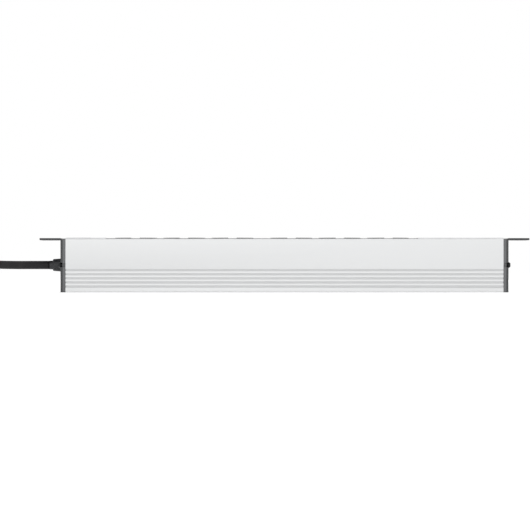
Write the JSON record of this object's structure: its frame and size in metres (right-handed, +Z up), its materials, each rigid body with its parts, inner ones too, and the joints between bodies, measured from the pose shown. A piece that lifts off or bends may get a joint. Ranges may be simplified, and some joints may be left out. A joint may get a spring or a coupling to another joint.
{
  "type": "desk power strip",
  "caption": "Slim aluminium power strip with earthed round sockets on top, dark end caps, folded mounting ears at both ends and a mains cord with its plug.",
  "frame": {"origin": "middle of the strip's underside, ear to ear, without the cord", "axes": "+Z up out of the sockets, +X along the strip away from the cord, +Y to the strip's back"},
  "size_m": [0.8508, 0.0586, 0.0541],
  "materials": {
    "channel": "light satin anodised extrusion",
    "socket_plastic": "black moulded plastic, fine grain",
    "inner_plastic": "dark grey moulded plastic",
    "contact_brass": "rolled brass strip",
    "earth_steel": "tinned spring steel",
    "shutter_plastic": "off-white moulded plastic",
    "spring_steel": "spring wire",
    "cover_plastic": "light grey moulded plastic, fine grain",
    "cap_plastic": "dark grey moulded plastic",
    "bracket_coat": "anthracite powder coat",
    "black_screw": "black passivated steel",
    "zinc_screw": "zinc plated steel",
    "bush_plastic": "black nylon",
    "cord_sheath": "black flexible sheath",
    "wire_brown": "brown core insulation",
    "wire_blue": "blue core insulation",
    "wire_green_yellow": "green and yellow core insulation",
    "terminal_plastic": "natural nylon",
    "plate_foil": "blank silver foil",
    "tie_fabric": "black hook and loop tape",
    "plug_rubber": "black moulded rubber",
    "pin_metal": "nickel plated brass"
  },
  "bodies": {
    "strip": {"channel": "channel", "socket_block_left": "socket_plastic", "socket_block_right": "socket_plastic", "block_base_left": "inner_plastic", "block_base_right": "inner_plastic", "live_strip_left": "contact_brass", "live_strip_right": "contact_brass", "neutral_strip_left": "contact_brass", "neutral_strip_right": "contact_brass", "earth_strip_left": "earth_steel", "earth_strip_right": "earth_steel", "shutter_springs": "spring_steel", "shutter_washers": "spring_steel", "cover_left": "cover_plastic", "cover_right": "cover_plastic", "end_cap_left": "cap_plastic", "end_cap_right": "cap_plastic", "bracket_left": "bracket_coat", "bracket_right": "bracket_coat", "bracket_screws": "black_screw", "block_screws": "zinc_screw", "cord_bush": "bush_plastic", "bush_nut": "bush_plastic", "cord_inlet": "cord_sheath", "wire_live": "wire_brown", "wire_neutral": "wire_blue", "wire_earth": "wire_green_yellow", "terminal_block": "terminal_plastic", "terminal_screws": "zinc_screw", "earth_tag": "earth_steel", "earth_screw": "zinc_screw", "rating_plate": "plate_foil", "cord_lead": "cord_sheath", "cord_hank": "cord_sheath", "cord_tail": "cord_sheath", "hank_tie": "tie_fabric", "plug_boot": "plug_rubber", "plug_body": "plug_rubber", "plug_pins": "pin_metal", "plug_earth_clips": "earth_steel"},
    "shutter_1": {"shutter_1": "shutter_plastic"},
    "shutter_2": {"shutter_2": "shutter_plastic"},
    "shutter_3": {"shutter_3": "shutter_plastic"},
    "shutter_4": {"shutter_4": "shutter_plastic"},
    "shutter_5": {"shutter_5": "shutter_plastic"},
    "shutter_6": {"shutter_6": "shutter_plastic"}
  },
  "joints": [
    {"name": "shutter_1_turn", "type": "hinge", "parent": "strip", "child": "shutter_1", "pos_m": [-0.14695, 0, 0.032], "axis": [0, 0, 1], "range_deg": [0, 42], "stiffness_Nm_per_rad": 0.001, "springref_deg": -28.65},
    {"name": "shutter_2_turn", "type": "hinge", "parent": "strip", "child": "shutter_2", "pos_m": [-0.09915, 0, 0.032], "axis": [0, 0, 1], "range_deg": [0, 42], "stiffness_Nm_per_rad": 0.001, "springref_deg": -28.65},
    {"name": "shutter_3_turn", "type": "hinge", "parent": "strip", "child": "shutter_3", "pos_m": [-0.05135, 0, 0.032], "axis": [0, 0, 1], "range_deg": [0, 42], "stiffness_Nm_per_rad": 0.001, "springref_deg": -28.65},
    {"name": "shutter_4_turn", "type": "hinge", "parent": "strip", "child": "shutter_4", "pos_m": [0.00695, 0, 0.032], "axis": [0, 0, 1], "range_deg": [0, 42], "stiffness_Nm_per_rad": 0.001, "springref_deg": -28.65},
    {"name": "shutter_5_turn", "type": "hinge", "parent": "strip", "child": "shutter_5", "pos_m": [0.05475, 0, 0.032], "axis": [0, 0, 1], "range_deg": [0, 42], "stiffness_Nm_per_rad": 0.001, "springref_deg": -28.65},
    {"name": "shutter_6_turn", "type": "hinge", "parent": "strip", "child": "shutter_6", "pos_m": [0.10255, 0, 0.032], "axis": [0, 0, 1], "range_deg": [0, 42], "stiffness_Nm_per_rad": 0.001, "springref_deg": -28.65}
  ]
}
